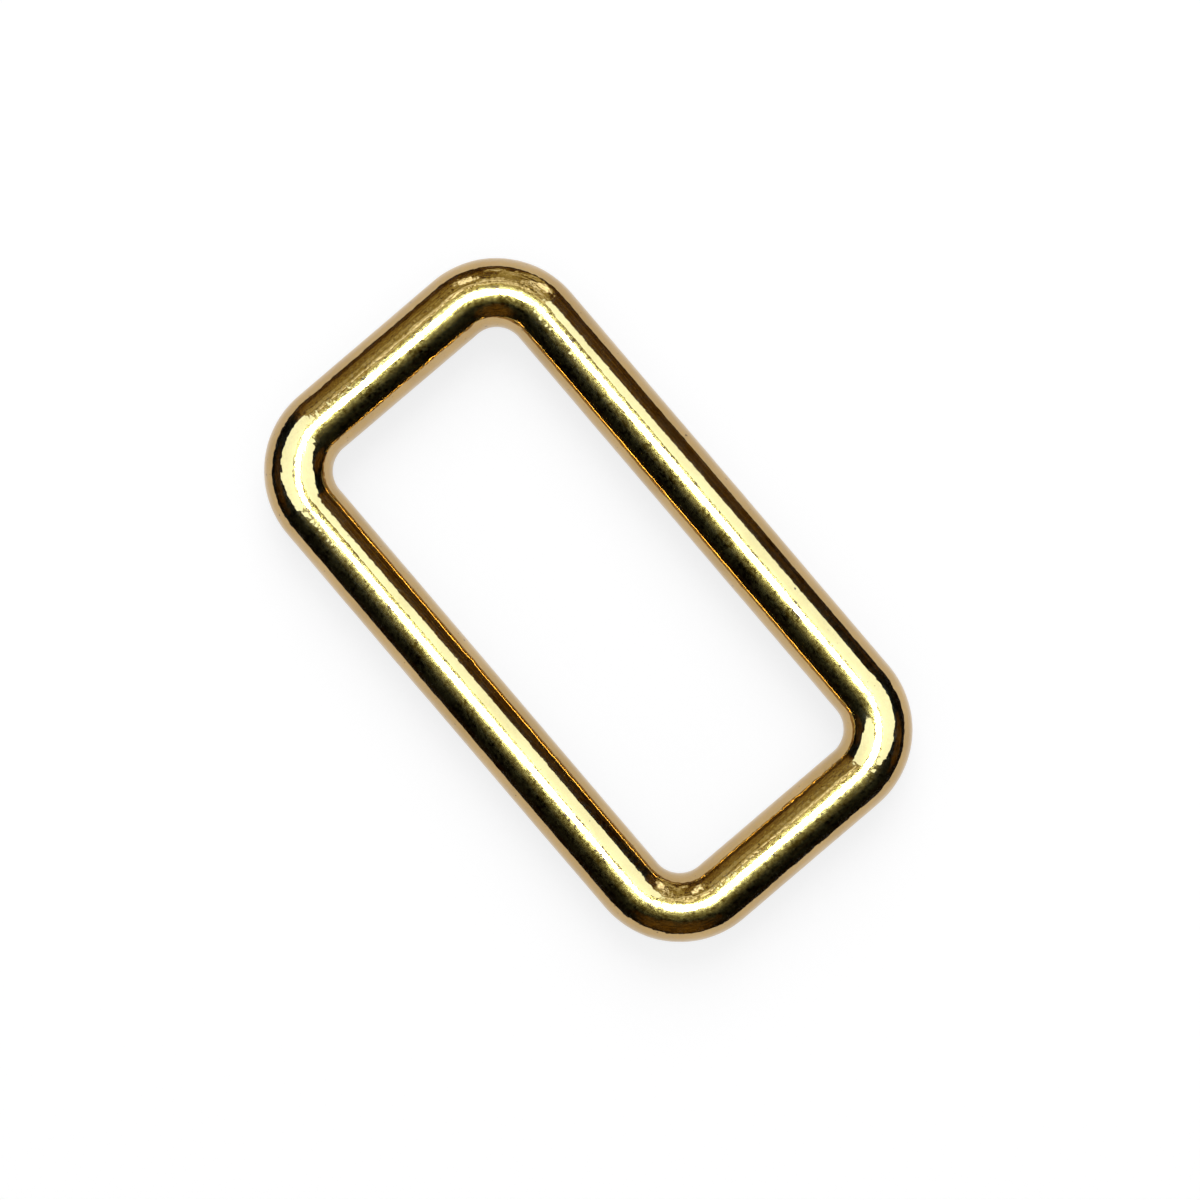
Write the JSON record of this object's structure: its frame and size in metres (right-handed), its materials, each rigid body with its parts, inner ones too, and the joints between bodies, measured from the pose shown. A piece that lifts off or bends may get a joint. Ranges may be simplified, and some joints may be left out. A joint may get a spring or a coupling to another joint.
{
  "type": "rectangular strap ring",
  "caption": "Closed rectangular loop of round polished metal bar with rounded corners, for joining or turning a flat strap, webbing or belt.",
  "frame": {"origin": "middle of the opening, on the plane through the middle of the round bar, which is the centre of the bounding box", "axes": "+X along the two long sides, +Y along the two short sides, +Z square to the ring's plane, the way a strap passes through; the ring lies flat with its lowest line of contact at the lowest Z"},
  "size_m": [0.0476, 0.026, 0.0048],
  "materials": {
    "gold_plated_metal": "polished gold-coloured plating with a fine micro grain"
  },
  "bodies": {
    "root": {"rectangular_ring": "gold_plated_metal"}
  },
  "joints": []
}
